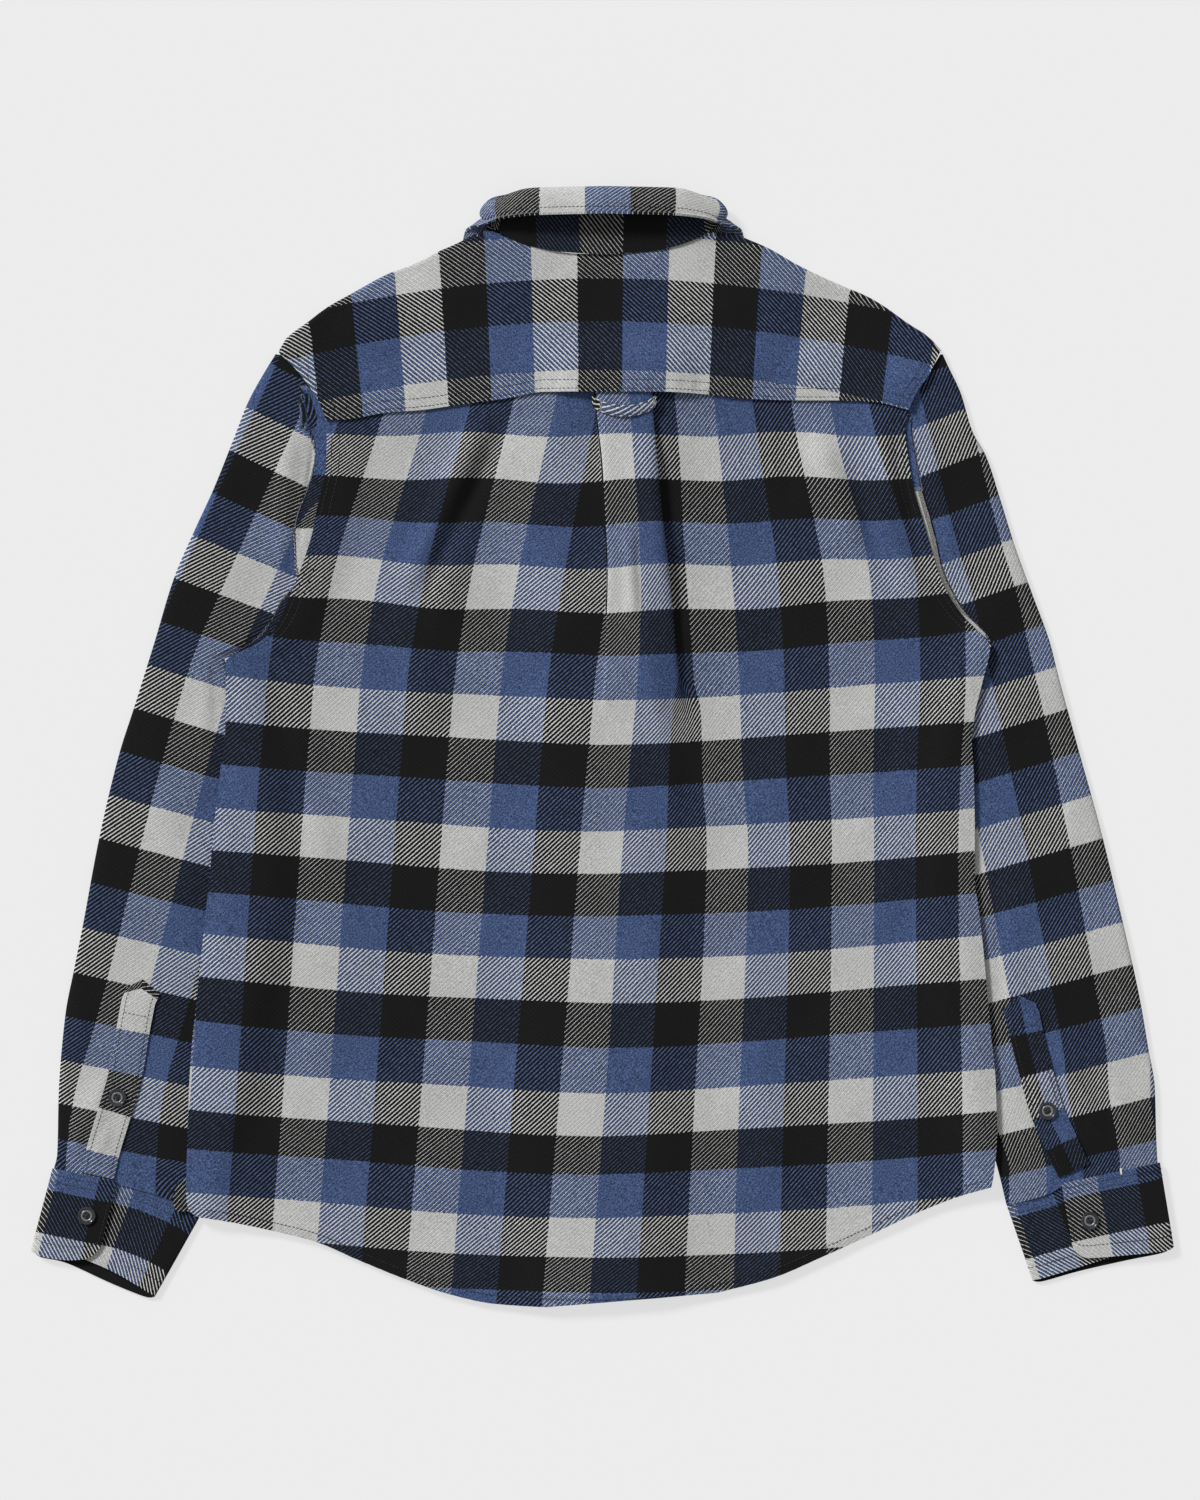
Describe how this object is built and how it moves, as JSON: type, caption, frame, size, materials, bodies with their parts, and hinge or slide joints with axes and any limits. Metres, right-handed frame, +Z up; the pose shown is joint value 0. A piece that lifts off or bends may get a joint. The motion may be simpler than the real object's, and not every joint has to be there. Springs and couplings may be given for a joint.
{
  "type": "flannel shirt",
  "caption": "Long-sleeved checked flannel shirt with collar, back yoke, box pleat and buttoned cuffs, laid flat with its back up.",
  "frame": {"origin": "middle of the laid-out shirt seen from above, on the surface it lies on", "axes": "+X across the shirt, towards the right of the view from above; +Y from the hem to the collar; +Z up, out of the back of the shirt"},
  "size_m": [0.822, 0.8054, 0.0261],
  "materials": {
    "body_cloth": "brushed cotton flannel, matt, in a grey, blue and black check",
    "button": "dark grey four-hole buttons, glossy",
    "collar_cloth": "brushed cotton flannel, matt, in a grey, blue and black check",
    "cuff_left_cloth": "brushed cotton flannel, matt, in a grey, blue and black check",
    "cuff_right_cloth": "brushed cotton flannel, matt, in a grey, blue and black check",
    "placket_left_cloth": "brushed cotton flannel, matt, in a grey, blue and black check",
    "placket_right_cloth": "brushed cotton flannel, matt, in a grey, blue and black check",
    "sleeve_left_cloth": "brushed cotton flannel, matt, in a grey, blue and black check",
    "sleeve_right_cloth": "brushed cotton flannel, matt, in a grey, blue and black check",
    "yoke_cloth": "brushed cotton flannel, matt, in a grey, blue and black check"
  },
  "bodies": {
    "root": {"back_panel": "body_cloth", "front_left": "body_cloth", "front_right": "body_cloth", "front_band": "body_cloth", "yoke": "yoke_cloth", "locker_loop": "yoke_cloth", "sleeve_left": "sleeve_left_cloth", "sleeve_right": "sleeve_right_cloth", "placket_left": "placket_left_cloth", "placket_right": "placket_right_cloth", "cuff_left": "cuff_left_cloth", "cuff_right": "cuff_right_cloth", "collar_stand": "collar_cloth", "collar_leaf": "collar_cloth", "button_front_1": "button", "button_front_2": "button", "button_front_3": "button", "button_front_4": "button", "button_front_5": "button", "button_front_6": "button", "button_collar": "button", "button_placket_left": "button", "button_placket_right": "button", "button_cuff_left": "button", "button_cuff_right": "button"}
  },
  "joints": []
}
